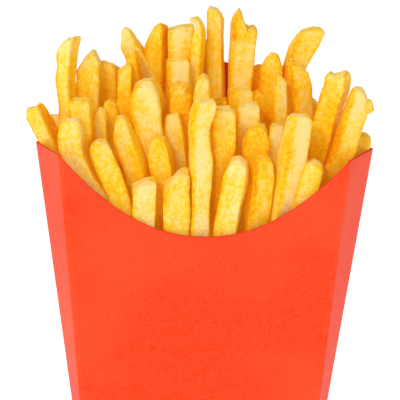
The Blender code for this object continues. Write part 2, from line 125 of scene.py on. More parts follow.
# The noises that shape a fry: how far each one moves the skin, and how many waves it has in a millimetre
LUMP_WAVES = (0.16, 0.16, 0.09)
SWELLING = 0.07             # of its width, as a share
SWELLING_WAVES = 0.09
SWAY = 0.3                  # of its middle line, from side to side
SWAY_WAVES = 0.04
BLISTER = 0.25
BLISTER_WAVES = 0.62
BLISTER_LIMIT = 0.16        # noise below this makes no blister
CRUST = 0.06
CRUST_WAVES = 1.5
CRUST_ON_FACES = 0.4        # against 1.4 at the corners
END_CRUST = 0.16
END_HOLLOW = 0.3            # how far the middle of a cut end sinks
RAGGED = 0.5                # how uneven an end's outline is
RAGGED_WAVES = 0.45
EDGE_CRISP = 3.6            # the brown line round a cut end
END_CRISP = 0.4             # the cut end's own rim
GRAIN_UNIT = 0.1            # the materials' grain is measured in centimetres
FRY_MASKS = ("tone", "crisp", "cut", "grit")

# The camera stands as the photograph's did
CAMERA_AIM = Vector((-1.25, 0.0, 104.2)) * MM
CAMERA_DISTANCE = 0.9
CAMERA_ELEVATION = math.radians(10.0)
CAMERA_ROLL = math.radians(1.15)
VIEW_WIDTH = 0.1494         # what the picture's width takes in at the carton's middle

# The outline of a fry's end as seen, left to right: (place across it from -1 to 1, drop from its highest)
SQUARE = ((-1, 0.5), (-0.75, 0), (0.75, 0.1), (1, 0.6))
DOME = ((-1, 3.4), (-0.6, 0.9), (0, 0), (0.6, 0.8), (1, 3.2))
BLUNT = ((-1, 1.9), (-0.6, 0.3), (0.5, 0), (1, 1.5))
RISING = ((-1, 2.6), (0.3, 0.5), (1, 0))
FALLING = ((-1, 0), (-0.3, 0.5), (1, 2.6))
PEAK = ((-1, 4.4), (-0.55, 1.3), (0, 0), (0.5, 0.9), (1, 3.4))
LEAF = ((-1, 5.4), (-0.45, 1.6), (0.05, 0), (0.5, 1.3), (1, 4.4))

# path: a fry's middle line and width, seen on the carton's middle plane, as (x, z, width), tip first
# depths: of its tip and its foot; turn: of its section in degrees; end: the outline of its end
# tone: of its front face, from 0, pale, to 1, amber; side: the same of its side faces, which for the fries
# seen from the front is mostly more amber than the front face: painted shade where they face their
# neighbours
# lean: how its cut end tips forward; rough: how blistered its crust is
# tip: tone added at its tip, how far down that reaches, and over how much further it fades out
USUAL_LEAN = 0.12
USUAL_ROUGH = 1.0
USUAL_TIP = (-0.08, 0.0, 9.0)
Fry = namedtuple("Fry", "path depths turn end tone side lean rough tip",
                 defaults=(USUAL_LEAN, USUAL_ROUGH, USUAL_TIP))

FRONT_ROW = (
    Fry([(-49.6, 134.6, 8.4), (-49.4, 128, 9.8), (-48.9, 122, 9.8), (-46.5, 116, 9.6), (-43.3, 110.5, 9.2),
         (-38.5, 104.5, 9.0), (-32.5, 98, 9.0)], (-15, -17), -12, BLUNT, 0.10, 0.50),
    Fry([(-39.8, 126.3, 8.6), (-37.6, 119, 9.0), (-34.2, 110, 9.2), (-31, 101, 9.0)],
        (-18, -17.5), 12, DOME, 0.40, 0.55),
    Fry([(-22.4, 112.2, 8.7), (-22.5, 95, 8.8)], (-19.5, -17.5), 6, RISING, 0.14, 0.50),
    Fry([(-10.1, 116, 10.2), (-10.1, 92, 10.0)], (-19, -17), 5,
        ((-1, 5.4), (-0.4, 3.8), (0.1, 1.2), (0.5, 0.2), (1, 0)), 0.34, 0.50, 0.45),
    Fry([(0.3, 142.7, 8.0), (-0.6, 138.5, 8.4), (-2.1, 132, 7.3), (-1.9, 126, 7.5), (-1.3, 119, 8.3),
         (-1.1, 111, 7.9), (-1.4, 103, 7.2), (-1.6, 96, 7.3), (-1.6, 90, 7.3)], (-18, -17.5), 8,
        ((-1, 2.8), (-0.4, 0.9), (0.2, 0.5), (0.7, 0), (1, 0.8)), 0.05, 0.45),
    Fry([(13.3, 120.9, 8.4), (12.5, 115, 9.7), (11.7, 110, 9.7), (9.8, 101, 9.3), (8.5, 91, 9.0)],
        (-19.5, -17), -12, DOME, 0.20, 0.45),
    Fry([(21.5, 121.5, 8.5), (21.3, 112, 9.4), (20.3, 103, 9.4), (19.5, 94, 9.3)],
        (-17.5, -16.5), 22, BLUNT, 0.45, 0.72),
    Fry([(36, 137.4, 9.2), (33.9, 126, 9.8), (32.1, 115, 9.9), (30.2, 105, 9.4), (28.8, 97, 9.0)],
        (-18, -17.5), 20, BLUNT, 0.12, 0.45),
    Fry([(41, 120.5, 8.0), (40.3, 113, 8.8), (38.6, 103, 8.6)], (-19, -17.5), -8, DOME, 0.42, 0.60),
)
SECOND_ROW = (
    Fry([(-31.3, 135.4, 6.8), (-30, 129, 8.6), (-27.2, 121, 9.2), (-24.6, 113, 9.0)],
        (-11, -9), -20, DOME, 0.20, 0.60),
    Fry([(-17.6, 128.4, 7.6), (-16.4, 121, 8.7), (-14.6, 110, 8.5)], (-10, -9), -10, DOME, 0.42, 0.60),
    Fry([(-46.3, 141.6, 9.2), (-45.7, 133, 9.5), (-45.4, 126, 9.0)], (-8, -9), -10, SQUARE, 0.38, 0.66),
    Fry([(6.8, 139.5, 9.0), (6.3, 132, 10.2), (6.6, 126, 9.8), (7.1, 120, 8.4), (6.8, 109, 7.4)],
        (-12, -9), 12, BLUNT, 0.30, 0.50),
    Fry([(19.8, 133.9, 8.2), (19.4, 129, 10.4), (19.1, 124, 10.2), (18.6, 119, 9.6)],
        (-10, -8), 0, DOME, 0.50, 0.66, 0.12, 3.5),
    Fry([(27, 133.3, 5.2), (26.4, 126, 5.6), (25.6, 119, 5.6)], (-9, -9), 0, SQUARE, 0.25, 0.50),
    Fry([(57.8, 148, 7.0), (56.7, 142, 8.5), (54.6, 135, 8.7), (50.4, 121, 8.7), (46.3, 109.5, 8.8)],
        (-10, -14), 10, ((-1, 1.3), (-0.5, 0), (0, 0.2), (1, 3.2)), 0.22, 0.50),
    Fry([(49.2, 154.3, 9.4), (48.8, 148, 9.3), (47.1, 142, 9.2), (45.2, 135, 9.2), (43.4, 126, 9.2),
         (41.8, 118.5, 9.0)], (-5, -9), -22,
        ((-1, 1.5), (-0.65, 0.5), (-0.25, 1.6), (0.1, 0.9), (0.5, 0), (0.8, 0.2), (1, 1.5)), 0.40, 0.68),
    Fry([(-16.3, 110.5, 5.5), (-16.3, 92, 5.5)], (-12, -12), 0, SQUARE, 0.85, 0.90),
)
MIDDLE_ROW = (
    Fry([(-63.9, 138.6, 7.4), (-62.4, 135, 8.4), (-60.1, 130, 8.8), (-57.6, 125, 8.7), (-56, 121, 8.7)],
        (-1, -1), -22, ((-1, 1.6), (-0.5, 0.2), (0.2, 0.6), (0.7, 0), (1, 0.4)), 0.30, 0.70),
    Fry([(-56.2, 135.4, 5.6), (-55.4, 128, 5.8)], (5, 3), 0, SQUARE, 0.15, 0.40),
    Fry([(-38.9, 138.4, 6.0), (-38.2, 128, 6.2)], (-4, -3), -15, DOME, 0.34, 0.62, 0.12, 2.5),
    Fry([(-35.3, 141.1, 6.6), (-34.8, 132, 7.0)], (0, 0), 5, DOME, 0.50, 0.70, 0.12, 3.0),
    Fry([(-22.3, 149.8, 11.2), (-21.9, 141, 12.2), (-20.9, 133, 11.2), (-19.6, 125, 10.8)], (-4, -3), -6,
        ((-1, 4.2), (-0.5, 1.6), (0, 0.5), (0.4, 0), (1, 3.4)), 0.12, 0.60, 0.45, 2.0),
    Fry([(-11.7, 137.7, 6.5), (-10.9, 131, 8.8), (-9.6, 124, 8.6), (-8.3, 116, 8.0)],
        (-3, -3), -18, ((-1, 1.0), (-0.4, 0.8), (0.3, 0), (1, 1.4)), 0.22, 0.62),
    Fry([(-0.9, 151.4, 6.0), (-1.1, 145, 7.0), (-1, 140, 7.2)], (-4, -3), -12, PEAK, 0.18, 0.60),
    Fry([(13.1, 146.5, 9.6), (13.1, 138, 9.8)], (4, 1), 4, SQUARE, 0.42, 0.60),
    Fry([(16, 141.4, 8.0), (16, 134, 8.2), (15.9, 127, 8.0), (15.8, 120, 8.0)],
        (-4, -2), 0, SQUARE, 0.05, 0.50),
    Fry([(27.7, 152.4, 5.0), (27.6, 140, 5.4), (27.4, 130, 5.4)], (1, 0), 8, FALLING, 0.24, 0.45),
    Fry([(59.9, 130.9, 6.4), (57.6, 121, 7.4)], (0, -2), 0, DOME, 0.28, 0.60),
    Fry([(40.0, 170.8, 8.9), (37.2, 165, 9.3), (34.4, 159.5, 9.1), (32.4, 154, 8.5), (31.2, 147, 7.4)],
        (7, 6), 14, ((-1, 6.8), (-0.7, 4.0), (-0.3, 2.0), (0.1, 0.8), (0.8, 0), (1, 0)), 0.30, 0.55),
    Fry([(33.4, 158.0, 7.6), (34.0, 152, 8.5), (34.9, 147, 8.5), (35.8, 138, 8.0)], (3, 2), 20,
        ((-1, 0.4), (-0.6, 0), (0, 1.0), (1, 4.4)), 0.30, 0.62),
    Fry([(-8.9, 149.2, 8.6), (-9.1, 143, 8.8), (-9.2, 136, 8.6)], (1, 0), 4,
        ((-1, 1.8), (-0.6, 1.6), (0, 0.6), (0.5, 0), (1, 1.0)), 0.45, 0.66, 0.55, 3.0),
)
FOURTH_ROW = (
    Fry([(-50.1, 165.7, 7.9), (-51.2, 159, 7.6), (-51.6, 153, 7.0), (-52.1, 148, 7.1), (-51.1, 140, 6.8),
         (-51, 125, 7.0)], (3, 1), -32,
        ((-1, 7.6), (-0.8, 5.7), (-0.55, 3.6), (-0.15, 2.0), (0.5, 0.7), (1, 0)), 0.12, 0.36),
    Fry([(-43.2, 160.3, 8.8), (-43.3, 150, 8.9), (-43.1, 138, 8.8)], (8, 6), -5,
        ((-1, 7.1), (0.1, 1.3), (0.28, 0), (1, 4.4)), 0.26, 0.45),
    Fry([(-30.2, 155.1, 5.0), (-29.8, 135, 6.0)], (1, 2), 0, RISING, 0.45, 0.70),
    Fry([(-27.6, 160, 4.8), (-27, 155, 5.4), (-26.3, 148, 6.0)], (6, 6), -20,
        ((-1, 2.4), (0.4, 0), (1, 0.8)), 0.42, 0.75),
    Fry([(-10.6, 157.1, 8.5), (-10.5, 148, 8.7), (-10.3, 140, 8.5)], (7, 6), 6, SQUARE, 0.22, 0.55),
    Fry([(24.6, 160.3, 7.2), (24.3, 154, 8.0), (23.5, 146, 8.0), (22.2, 133, 7.6)],
        (7, 5), 6, ((-1, 4.8), (-0.6, 2.0), (-0.2, 0.3), (0.05, 0), (0.4, 0.5), (1, 4.0)), 0.50, 0.70),
)
BACK_ROW = (
    Fry([(-36.1, 156.0, 8.2), (-35.9, 148, 8.5), (-35.6, 141, 8.5)], (13, 11), -12,
        ((-1, 0), (0.2, 0.8), (1, 2.2)), 0.50, 0.78),
    Fry([(-30.2, 168.6, 5.6), (-28.9, 164, 7.1), (-26.3, 158.5, 7.7), (-22.3, 152, 7.4), (-19, 146.5, 7.8)],
        (14, 12), -15, PEAK, 0.08, 0.30),
    Fry([(-18.3, 170.3, 8.0), (-18.5, 163, 8.4), (-18, 150, 8.5)], (15, 13), -20,
        ((-1, 7.6), (-0.6, 4.1), (-0.2, 1.3), (0.3, 0), (1, 0.5)), 0.62, 0.85),
    Fry([(-9.6, 170.3, 9.8), (-9.7, 163, 9.8), (-9.8, 156, 9.6)], (15, 13), 4,
        ((-1, 1.9), (0, 0.7), (1, 0)), 0.22, 0.50),
    Fry([(-6.8, 171.6, 2.8), (-4.4, 171.4, 3.8), (-2.8, 168, 5.2), (-3.2, 161, 5.7), (-3.9, 150, 6.0)],
        (10, 8), -25, BLUNT, 0.20, 0.50),
    Fry([(3.1, 176.7, 6.4), (3.0, 166, 6.6), (3.1, 157, 6.5), (4.2, 144, 6.2)], (16, 13), -12,
        ((-1, 0.5), (-0.6, 0), (0.1, 0.4), (0.6, 1.8), (1, 4.5)), 0.22, 0.50),
    Fry([(13.7, 176.3, 9.6), (13.6, 168, 9.8), (13.2, 158, 9.3), (12.8, 147, 9.0)], (12, 10), 6,
        ((-1, 5.5), (-0.77, 2.3), (-0.36, 0), (-0.16, 1.8), (0, 4.8), (0.16, 7.3), (0.33, 7.0),
         (0.55, 6.4), (0.94, 6.5), (1, 7.2)), -0.05, 0.30, 0.05, 1.0, (0.30, 11.2, 0.8)),
    Fry([(40.8, 143.7, 5.0), (40.6, 134, 6.0)], (13, 11), 0, FALLING, 0.72, 0.85),
    Fry([(19, 155.8, 5.4), (18.9, 141, 6.0)], (14, 11), 0,
        ((-1, 1.4), (-0.2, 0.8), (0.3, 0), (1, 0.5)), 0.75, 0.90),
)
# Hidden from the front, seen from the back, the sides and above
REAR_ROW = (
    Fry([(-55, 131, 8.0), (-52, 118, 8.0)], (12, 9), 10, DOME, 0.40, 0.50),
    Fry([(-45, 147, 8.4), (-43.5, 130, 8.4)], (19, 15), 15, RISING, 0.50, 0.40),
    Fry([(-36, 149, 8.0), (-35, 130, 8.0)], (20, 16), -10, FALLING, 0.30, 0.30),
    Fry([(-27.5, 149, 8.6), (-26, 130, 8.6)], (20, 16), 5, LEAF, 0.60, 0.60),
    Fry([(-18.8, 160, 7.4), (-17.5, 140, 7.4)], (21.5, 16), 20, SQUARE, 0.35, 0.40),
    Fry([(-8.8, 163, 8.8), (-8.6, 140, 8.8)], (21.5, 16), -15, FALLING, 0.50, 0.40),
    Fry([(-0.6, 165, 7.4), (0, 140, 7.4)], (21.5, 16), 10, RISING, 0.30, 0.20),
    Fry([(12.9, 163, 8.0), (12.4, 140, 8.0)], (21, 16), 10, DOME, 0.55, 0.50),
    Fry([(23.6, 153, 8.2), (22.5, 135, 8.2)], (20, 16), -20, RISING, 0.40, 0.30),
    Fry([(34.4, 150, 8.8), (32.5, 132, 8.8)], (19, 15), 10, FALLING, 0.60, 0.50),
    Fry([(47.2, 143, 8.6), (43.5, 128, 8.6)], (18, 14), 15, SQUARE, 0.35, 0.40),
    Fry([(54.8, 136, 7.6), (51, 120, 7.6)], (9, 7), -10, FALLING, 0.50, 0.60),
    Fry([(50, 140, 8.0), (46, 122, 8.0)], (5, 4), 10, DOME, 0.50, 0.60),
)
# Short ones between the others, seen only in the gaps from above
FILLERS = (
    Fry([(4.2, 143, 8.0), (4.6, 125, 8.0)], (4, 3), 0, RISING, 0.70, 0.80),
    Fry([(-5, 141, 7.6), (-5.5, 125, 7.6)], (6, 4), 15, SQUARE, 0.60, 0.75),
    Fry([(19.5, 146, 7.0), (18.5, 128, 7.0)], (5, 4), 20, DOME, 0.70, 0.80),
    Fry([(8.5, 139, 8.4), (8, 122, 8.4)], (13, 10), -10, SQUARE, 0.60, 0.70),
    Fry([(29, 141, 8.0), (27.5, 125, 8.0)], (10, 8), 10, FALLING, 0.60, 0.70),
    Fry([(-36, 135, 8.2), (-34, 120, 8.2)], (8, 7), 10, DOME, 0.60, 0.70),
    Fry([(-18.5, 138, 8.4), (-17.5, 122, 8.4)], (6, 5), -10, SQUARE, 0.60, 0.70),
    Fry([(41.5, 133, 8.0), (39, 118, 8.0)], (3, 2), 0, DOME, 0.60, 0.70),
)
ROWS = {
    "fries_front": FRONT_ROW,
    "fries_second": SECOND_ROW,
    "fries_middle": MIDDLE_ROW + FOURTH_ROW,
    "fries_back": BACK_ROW + FILLERS,
    "fries_rear": REAR_ROW,
}

# Where crumbs lie, as seen on the middle plane: from (x, z) to (x, z), their number, sizes, tone and spread
Crumble = namedtuple("Crumble", "start end count sizes tone spread")
CRUMBLES = (
    Crumble((9.0, 163.3), (17.4, 163.9), 14, (0.4, 0.9), 0.05, 0.4),
    Crumble((31.4, 157.7), (37.8, 154.6), 18, (0.5, 1.0), 0.12, 0.5),
    Crumble((-12.8, 147.8), (-5.0, 148.0), 24, (0.5, 1.0), 0.30, 1.0),
    Crumble((-8.0, 146.0), (-5.0, 143.0), 26, (0.5, 1.1), 0.72, 1.8),
    Crumble((-27.0, 147.0), (-17.6, 147.4), 18, (0.4, 0.9), 0.20, 1.6),
    Crumble((16.2, 131.4), (23.2, 130.6), 14, (0.4, 0.9), 0.45, 1.2),
    Crumble((16.8, 127.6), (22.6, 126.4), 20, (0.5, 1.0), 0.50, 2.6),
    Crumble((-40.5, 139.5), (-33.0, 141.2), 20, (0.4, 0.9), 0.50, 1.8),
    Crumble((60.7, 141.2), (60.8, 139.4), 5, (2.8, 3.6), 0.30, 0.1),
)
CRUMB_NOISE_SPAN = 50.0
CRUMB_TONE_SCATTER = (-0.1, 0.15)
CRUMB_STRETCH = (0.6, 1.25)
CRUMB_LUMP = 0.7
CRUMB_WAVES = 3.0
CRUMB_CRISP = 0.3
CRUMB_CUT = 0.5

# The crumbs along the carton's front edge
SCOOP_CRUMBS = 110
SCOOP_CRUMB_REACH = 50.0    # to either side of the middle
SCOOP_CRUMB_RISE = 4.0      # their mean height above the edge
SCOOP_CRUMB_SIZES = (0.25, 0.65)
SCOOP_CRUMB_TONES = (0.0, 0.15, 0.35, 0.6)

# The core under the fries: height, share of the inner width, and the depths of its front and back
CORE_RINGS = (
    (1.0, 1.0, -1.0, 1.0),
    (42.0, 1.0, -1.0, 1.0),
    (74.0, 1.0, -1.0, 1.0),
    (80.0, 0.96, -0.80, 0.95),
    (92.0, 0.92, -0.50, 0.88),
    (106.0, 0.84, -0.15, 0.78),
    (114.0, 0.72, 0.10, 0.66),
    (118.0, 0.45, 0.20, 0.50),
)
CORE_CLEARANCE = 0.8
CORE_CUTS = 5
CORE_HOLLOWS = 2.0          # how deep the hollows between the fries in it are
CORE_WAVES = (0.22, 0.22, 0.05)
# The core's tone, more amber than most fries: painted shade where it shows in the gaps between them
CORE_SHADE_TONE = 0.7


# Shapes of the carton

def wall_up(bm, rings):
    """Faces from each ring of corners to the next one above it, and a floor under the first."""
    count = len(rings[0])
    for low, high in zip(rings, rings[1:]):
        for i in range(count):
            j = (i + 1) % count
            bm.faces.new((low[i], low[j], high[j], high[i]))
    bm.faces.new(list(reversed(rings[0])))


def half_sizes(height, inset=0.0):
    """Half widths at the fold and at the side crease, and half depth, with each wall moved in."""
    share = height / RIM_HEIGHT
    fold = BASE_FOLD + (RIM_FOLD - BASE_FOLD) * share
    crease = BASE_CREASE + (RIM_CREASE - BASE_CREASE) * share
    depth = BASE_DEPTH + (RIM_DEPTH - BASE_DEPTH) * share
    facet = math.hypot(depth, crease - fold)
    return (fold + inset * (crease - fold - facet) / depth, crease - inset * facet / depth, depth - inset)


def scoop_height(across):
    return SCOOP_LOW_HEIGHT + (FOLD_TOP_HEIGHT - SCOOP_LOW_HEIGHT) * abs(across) ** SCOOP_POWER


def dome_height(across):
    swell = math.cos(0.5 * math.pi * abs(across) ** BACK_POWER) ** 2
    return FOLD_TOP_HEIGHT + (BACK_TOP_HEIGHT - FOLD_TOP_HEIGHT) * swell


def rounded_corner(before, corner, after, radius):
    """Points on an arc that rounds a corner of the carton's outline, seen from above."""
    incoming, outgoing = (corner - before).normalized(), (after - corner).normalized()
    turn = incoming.angle(outgoing)
    cut = radius * math.tan(0.5 * turn)
    start, end = corner - incoming * cut, corner + outgoing * cut
    points = []
    for i in range(ARC_COLUMNS + 1):
        t = i / ARC_COLUMNS
        points.append(start * (1 - t) ** 2 + corner * 2 * t * (1 - t) + end * t ** 2)
    return points


def outline_at(height):
    """The carton's outline once round at a height, from the front left fold, with its folds rounded."""
    fold, crease, depth = half_sizes(height)
    corners = [Vector((-fold, -depth)), Vector((fold, -depth)), Vector((crease, 0)),
               Vector((fold, depth)), Vector((-fold, depth)), Vector((-crease, 0))]
    count = len(corners)
    arcs = [rounded_corner(corners[i - 1], corners[i], corners[(i + 1) % count], FOLD_RADIUS)
            for i in range(count)]
    points = []
    for i, columns in enumerate(SIDE_COLUMNS):
        points += arcs[i]
        start, end = arcs[i][-1], arcs[(i + 1) % count][0]
        points += [start.lerp(end, j / columns) for j in range(1, columns)]
    return points


def column_tops():
    """The height of the board's top edge above each point of the outline."""
    tops = []
    for point in outline_at(RIM_HEIGHT):
        if abs(point.x) <= RIM_FOLD - FOLD_REACH:
            across = point.x / RIM_FOLD
            tops.append(scoop_height(across) if point.y < 0 else dome_height(across))
        else:
            outward = max(0.0, min(1.0, (abs(point.x) - RIM_FOLD) / (RIM_CREASE - RIM_FOLD)))
            tops.append(FOLD_TOP_HEIGHT + (RIM_HEIGHT - FOLD_TOP_HEIGHT) * outward)
    return tops


def panel_bow(x, y, height, top):
    """How far a panel is pushed out by the fries behind it."""
    fold, _, depth = half_sizes(height)
    across = max(0.0, 1.0 - (x / fold) ** 2)
    upwards = math.sin(math.pi * min(1.0, height / top))
    if y < -PANEL_SHARE * depth:
        return -FRONT_BOW * across * upwards
    if y > PANEL_SHARE * depth:
        return BACK_BOW * across * upwards
    return 0.0


def build_carton(skin, edge, inside):
    """The folded board: its outer skin, thickened inwards, with the cut edge as its own material."""
    bm = bmesh.new()
    tops = column_tops()
    at_base, at_rim = outline_at(0.0), outline_at(RIM_HEIGHT)
    fold_wear = bm.verts.layers.float.new("fold_wear")
    # Marks the band below the top edge that the material darkens: part ink wear, part painted shade
    rim_darkening = bm.verts.layers.float.new("rim_darkening")
    rows = []
    for row in range(WALL_ROWS + 2):
        is_edge = row > WALL_ROWS
        ring = []
        for i, top in enumerate(tops):
            height = top if is_edge else row / WALL_ROWS * (top - RIM_BAND)
            x, y = at_base[i].lerp(at_rim[i], height / RIM_HEIGHT)
            y += panel_bow(x, y, height, top)
            vert = bm.verts.new(Vector((x, y, height)) * MM)
            vert[fold_wear] = 1.0 if is_arc_column(i) else 0.0
            vert[rim_darkening] = 1.0 if is_edge else 0.0
            ring.append(vert)
        rows.append(ring)
    wall_up(bm, rows)
    carton = new_piece("carton_board", bm, (skin, edge, inside), smooth_angle=40)
    thicken = carton.modifiers.new("board", "SOLIDIFY")
    thicken.thickness = BOARD * MM
    thicken.offset = -1.0
    thicken.use_even_offset = True
    thicken.material_offset = INSIDE_SLOT
    thicken.material_offset_rim = EDGE_SLOT
    return carton


def is_arc_column(index):
    """Whether a point of the outline lies on one of its rounded folds."""
    for columns in SIDE_COLUMNS:
        length = ARC_COLUMNS + columns
        if index < length:
            return index <= ARC_COLUMNS
        index -= length
    return False


# Shapes of the fries

def pressed(point):
    """A point of the contents, kept inside the board up to where it may lean out over it."""
    x, y, z = point
    inset = BOARD + CLEARANCE
    _, _, depth = half_sizes(min(z, FREE_BACK_HEIGHT), inset)
    over_sides = max(0.0, z - FREE_SIDE_HEIGHT) * LEAN_OUT
    over_back = max(0.0, z - FREE_BACK_HEIGHT) * LEAN_OUT
    y = max(-depth - over_sides, min(depth + over_back, y))
    fold, crease, depth = half_sizes(min(z, FREE_SIDE_HEIGHT), inset)
    widest = crease - (crease - fold) * min(1.0, abs(y) / depth) + over_sides
    x = max(-widest, HEAP_LOW.x, min(widest, HEAP_HIGH.x, x))
    return Vector((x, y, max(BOARD + CLEARANCE, min(HEAP_HIGH.z, z))))


def seen(x, z, depth):
    """The point at a depth that the front view shows at (x, z) on the middle plane."""
    return EYE.lerp(Vector((x, 0.0, z)), 1.0 - depth / EYE.y)


def control_points(fry):
    """A fry's middle line in space, from its tip to its foot in the core, and its width at each point."""
    tip_depth, foot_depth = fry.depths
    path = list(fry.path)
    (x_before, z_before, _), (x_last, z_last, w_last) = path[-2:]
    lean = (x_last - x_before) / (z_last - z_before)
    drop = z_last - FRY_FOOT_HEIGHT
    path.append((x_last - lean * FOOT_LEAN * drop, FRY_FOOT_HEIGHT, w_last))
    length = path[0][1] - path[-1][1]
    points = []
    for x, z, width in path:
        share = (path[0][1] - z) / length
        points.append(seen(x, z, tip_depth + (foot_depth - tip_depth) * share))
    return points, [width for x, z, width in path]


def heading(points, index):
    """The curve's direction at one of its points, for each unit of length."""
    before = points[max(index - 1, 0)]
    after = points[min(index + 1, len(points) - 1)]
    here = points[index]
    return (after - before) / ((after - here).length + (here - before).length)


def smooth_step(share):
    share = max(0.0, min(1.0, share))
    return share * share * (3.0 - 2.0 * share)


def curve_point(points, widths, distance):
    """A point on the smooth curve through the points, at a distance from its start, and the width there."""
    lengths = [(b - a).length for a, b in zip(points, points[1:])]
    index = 0
    while index < len(lengths) - 1 and distance > lengths[index]:
        distance -= lengths[index]
        index += 1
    length = lengths[index]
    t = max(0.0, min(1.0, distance / length))
    start, end = points[index], points[index + 1]
    leaving, arriving = heading(points, index) * length, heading(points, index + 1) * length
    place = (start * (2 * t ** 3 - 3 * t ** 2 + 1) + leaving * (t ** 3 - 2 * t ** 2 + t)
             + end * (3 * t ** 2 - 2 * t ** 3) + arriving * (t ** 3 - t ** 2))
    return place, widths[index] + (widths[index + 1] - widths[index]) * smooth_step(t)


def turned(u, v, angle):
    cosine, sine = math.cos(angle), math.sin(angle)
    return u * cosine - v * sine, u * sine + v * cosine


def section_side(radius):
    """One side of a square section and the worn corner after it, as (u, v, how brown)."""
    places = []
    for i in range(FACE_POINTS):
        places.append((1.0, (2.0 * (i + 0.5) / FACE_POINTS - 1.0) * FACE_REACH, 0.0))
    for i in range(CORNER_STEPS):
        angle = 0.5 * math.pi * (i + 0.5) / CORNER_STEPS
        u, v = 1.0 - radius * (1.0 - math.cos(angle)), 1.0 - radius * (1.0 - math.sin(angle))
        places.append((u, v, math.sin(2.0 * angle)))
    return places


def section(turn, rng):
    """A fry's section, one unit wide as seen: points round a square with worn corners, from its right side.

    Each point is (u, v, corner, crisp, side): its place, how near a corner it is, how brown, and its side.
    """
    points = []
    for side in range(4):
        facing = 0.5 * math.pi * side + math.radians(turn)
        for u, v, crisp in section_side(rng.uniform(*CORNER_ROUND)):
            corner = min(abs(u), abs(v)) / max(abs(u), abs(v))
            points.append((*turned(u, v, facing), corner, crisp, side))
    widest = max(point[0] for point in points)
    return [(0.5 * u / widest, 0.5 * v / widest, *rest) for u, v, *rest in points]


def thickness(width):
    """How deep a fry of a width is: wide ones are flatter, narrow ones deeper."""
    return THICKNESS_SHARE * width + THICKNESS_ADDED


def end_drop(end, across):
    """How far below its highest point a fry's end is, at a place across it from -1 to 1."""
    for (left, high), (right, low) in zip(end, end[1:]):
        if across <= right:
            return high + (low - high) * smooth_step((across - left) / (right - left))
    return end[-1][1]


def ring_plan(length, half):
    """The rings of a fry as (distance from the tip, share of the section, on the end face)."""
    flat = 1.0 - EDGE_ROUND / half
    plan = [(0.0, flat * share, 1.0) for share in END_RINGS]
    for i in range(EDGE_STEPS + 1):
        angle = 0.5 * math.pi * i / EDGE_STEPS
        down = EDGE_ROUND * (1.0 - math.cos(angle))
        plan.append((down, flat + (1.0 - flat) * math.sin(angle), 1.0 - i / EDGE_STEPS))
    distance = EDGE_ROUND + 0.5 * RING_STEP
    while distance < length:
        plan.append((distance, 1.0, 0.0))
        distance += RING_STEP
    return plan


def random_shift(rng, span):
    return Vector([rng.uniform(-span, span) for _ in range(3)])


# shift: where in the noises the fry lies; tones: of its four sides
Traits = namedtuple("Traits", "shift sink twist lump tones lean")


def draw_traits(fry, rng):
    """What chance gives a fry of its own."""
    shift = random_shift(rng, NOISE_SPAN)
    sink = rng.uniform(*SINK)
    twist = rng.uniform(-TWIST, TWIST)
    lump = rng.uniform(*LUMP)
    # Left and right faces take the side tone, front and back the front tone; the side tones hold painted
    # shade where the faces turn to their neighbours
    tones = [(fry.tone if side % 2 else fry.side) + rng.uniform(-TONE_SCATTER, TONE_SCATTER)
             for side in range(4)]
    lean = fry.lean + rng.uniform(*LEAN_SCATTER)
    return Traits(shift, sink, twist, lump, tones, lean)


def frame_at(points, widths, distance):
    """A fry's middle, width and directions (up, across, inward) at a distance from its tip."""
    middle, width = curve_point(points, widths, distance)
    before, _ = curve_point(points, widths, distance - HEADING_STEP)
    after, _ = curve_point(points, widths, distance + HEADING_STEP)
    up = (before - after).normalized()
    across = BACKWARDS.cross(up).normalized()
    return middle, width, up, across, up.cross(across)


def stretched(place, factors):
    return Vector([a * b for a, b in zip(place, factors)])


def bulge(fry, traits, place, crust, corner, on_end):
    """How far the skin stands out from the plain section, at a place (across, inward, down) of a fry."""
    blister = max(0.0, noise.noise(place * BLISTER_WAVES - traits.shift) - BLISTER_LIMIT)
    out = traits.lump * noise.noise(stretched(place, LUMP_WAVES) + traits.shift)
    out += fry.rough * (BLISTER * blister * (1.0 - on_end) + CRUST * crust * (CRUST_ON_FACES + corner))
    return out - traits.sink * (1.0 - corner ** 2) * min(1.0, place.z / SINK_REACH)


def tone_and_shade_at(fry, distance):
    """The tone added at a distance from a fry's tip: its tip's own, and painted shade that makes it more
    amber deeper in the heap.
    """
    added, reach, fading = fry.tip
    shade_added = PAINTED_SHADE * smooth_step((fry.depths[0] - PAINTED_SHADE_DEPTH) / PAINTED_SHADE_FULL)
    tip_tone = added * (1.0 - smooth_step((distance - reach) / fading))
    return shade_added * smooth_step(distance / PAINTED_SHADE_REACH) + tip_tone


def crispness(crisp, share, on_end):
    """How brown a point is: by its corner, in a line round the cut end, and faintly on that end's rim."""
    if on_end < 1.0:
        return max(crisp, EDGE_CRISP * on_end * (1.0 - on_end))
    return END_CRISP * share ** 4


def grittiness(spot, depth):
    """How much grit lies on a front fry: all at the carton's front edge, and none GRIT_REACH above it."""
    if depth >= GRIT_DEPTH:
        return 0.0
    above_scoop = spot.z - scoop_height(spot.x / RIM_FOLD)
    return 1.0 - smooth_step(above_scoop / GRIT_REACH)


